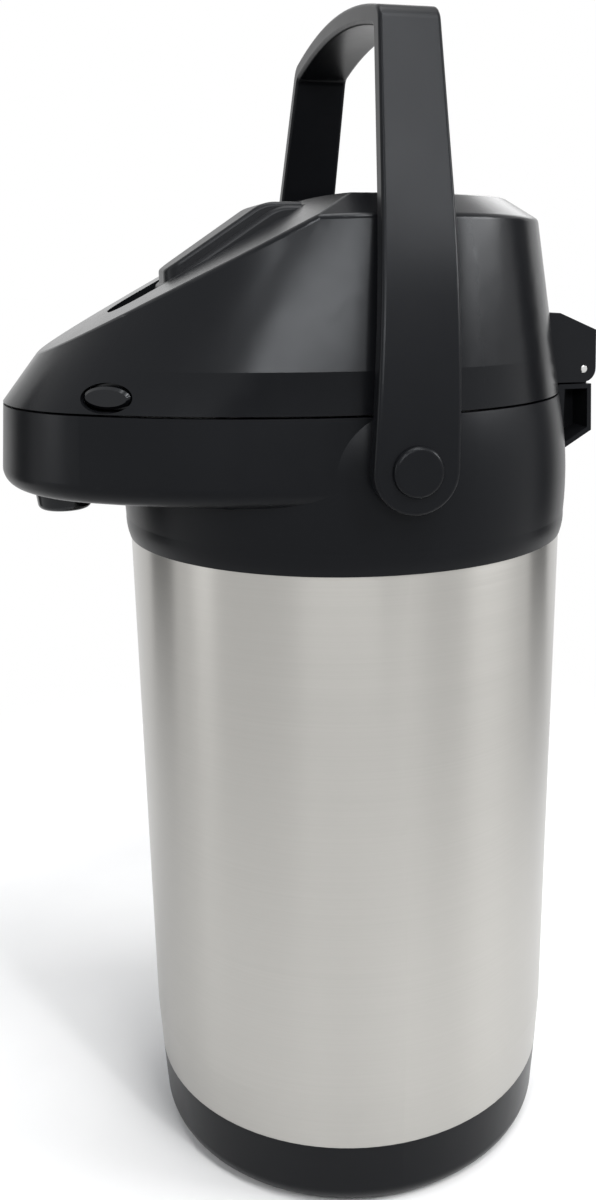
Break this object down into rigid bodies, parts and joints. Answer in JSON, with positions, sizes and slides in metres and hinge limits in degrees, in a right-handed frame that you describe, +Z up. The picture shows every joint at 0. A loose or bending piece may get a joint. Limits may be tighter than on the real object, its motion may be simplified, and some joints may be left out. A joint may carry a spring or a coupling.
{
  "type": "airpot",
  "caption": "Lever-pump airpot: steel vacuum flask, egg-shaped hinged lid with a sloping press lever, beak spout, release buttons and a swinging bail handle.",
  "frame": {"origin": "centre of the flat pad the pot stands on, on the axis of the flask", "axes": "+Z up along the flask's axis, -Y towards the spout, +Y towards the lid hinge, +X to the left of someone facing the spout"},
  "size_m": [0.1968, 0.227, 0.44],
  "materials": {
    "steel": "brushed round the body",
    "screw_steel": "plain",
    "black_plastic": "satin, lightly textured",
    "gloss_black": "gloss",
    "white_plastic": "natural food-grade plastic",
    "silicone": "soft matt",
    "rubber": "matt"
  },
  "bodies": {
    "pot": {"outer_shell": "steel", "inner_liner": "steel", "base_cup": "black_plastic", "foot_pad": "rubber", "collar": "black_plastic", "beak_plate": "black_plastic", "beak_screws": "screw_steel", "nozzle": "gloss_black", "neck_ring": "black_plastic", "neck_gasket": "silicone", "pipe_grommet": "silicone", "siphon_head": "white_plastic", "siphon_tube": "white_plastic", "delivery_pipe": "silicone", "handle_pivots": "black_plastic"},
    "handle": {"handle": "black_plastic"},
    "lid": {"lid_shell": "black_plastic", "lid_pan": "black_plastic", "lid_screws": "screw_steel", "hinge_pin": "screw_steel", "pump_base": "white_plastic", "lid_seal": "silicone", "outlet_valve": "silicone", "bellows": "rubber", "return_spring": "screw_steel", "lever_pin": "screw_steel"},
    "lever": {"lever": "black_plastic"},
    "pump": {"pump_plate": "white_plastic", "inlet_valve": "silicone"},
    "button_left": {"release_button_left": "gloss_black"},
    "button_right": {"release_button_right": "gloss_black"}
  },
  "joints": [
    {"name": "lid_hinge", "type": "hinge", "parent": "pot", "child": "lid", "pos_m": [0, 0.093, 0.315], "axis": [-1, 0, 0], "range_deg": [0, 68]},
    {"name": "handle_swing", "type": "hinge", "parent": "pot", "child": "handle", "pos_m": [0, -0.001, 0.2924], "axis": [-1, 0, 0], "range_deg": [-136, 136]},
    {"name": "lever_press", "type": "hinge", "parent": "lid", "child": "lever", "pos_m": [0, 0.045, 0.362], "axis": [1, 0, 0], "range_deg": [0, 14], "stiffness_Nm_per_rad": 4, "springref_deg": -8.59},
    {"name": "pump_slide", "type": "slide", "parent": "lid", "child": "pump", "axis": [0, 0, -1], "range_m": [0, 0.012], "deforming": ["bellows", "return_spring"]},
    {"name": "button_left_press", "type": "slide", "parent": "lid", "child": "button_left", "axis": [0.8381, 0.5456, 0], "range_m": [0, 0.003], "stiffness_N_per_m": 400, "springref_m": -0.002},
    {"name": "button_right_press", "type": "slide", "parent": "lid", "child": "button_right", "axis": [-0.8381, 0.5456, 0], "range_m": [0, 0.003], "stiffness_N_per_m": 400, "springref_m": -0.002}
  ],
  "couplings": [
    {"joint": "handle_swing", "follows": "lid_hinge", "ratio": 2},
    {"joint": "pump_slide", "follows": "lever_press", "m_per_rad": 0.045}
  ]
}
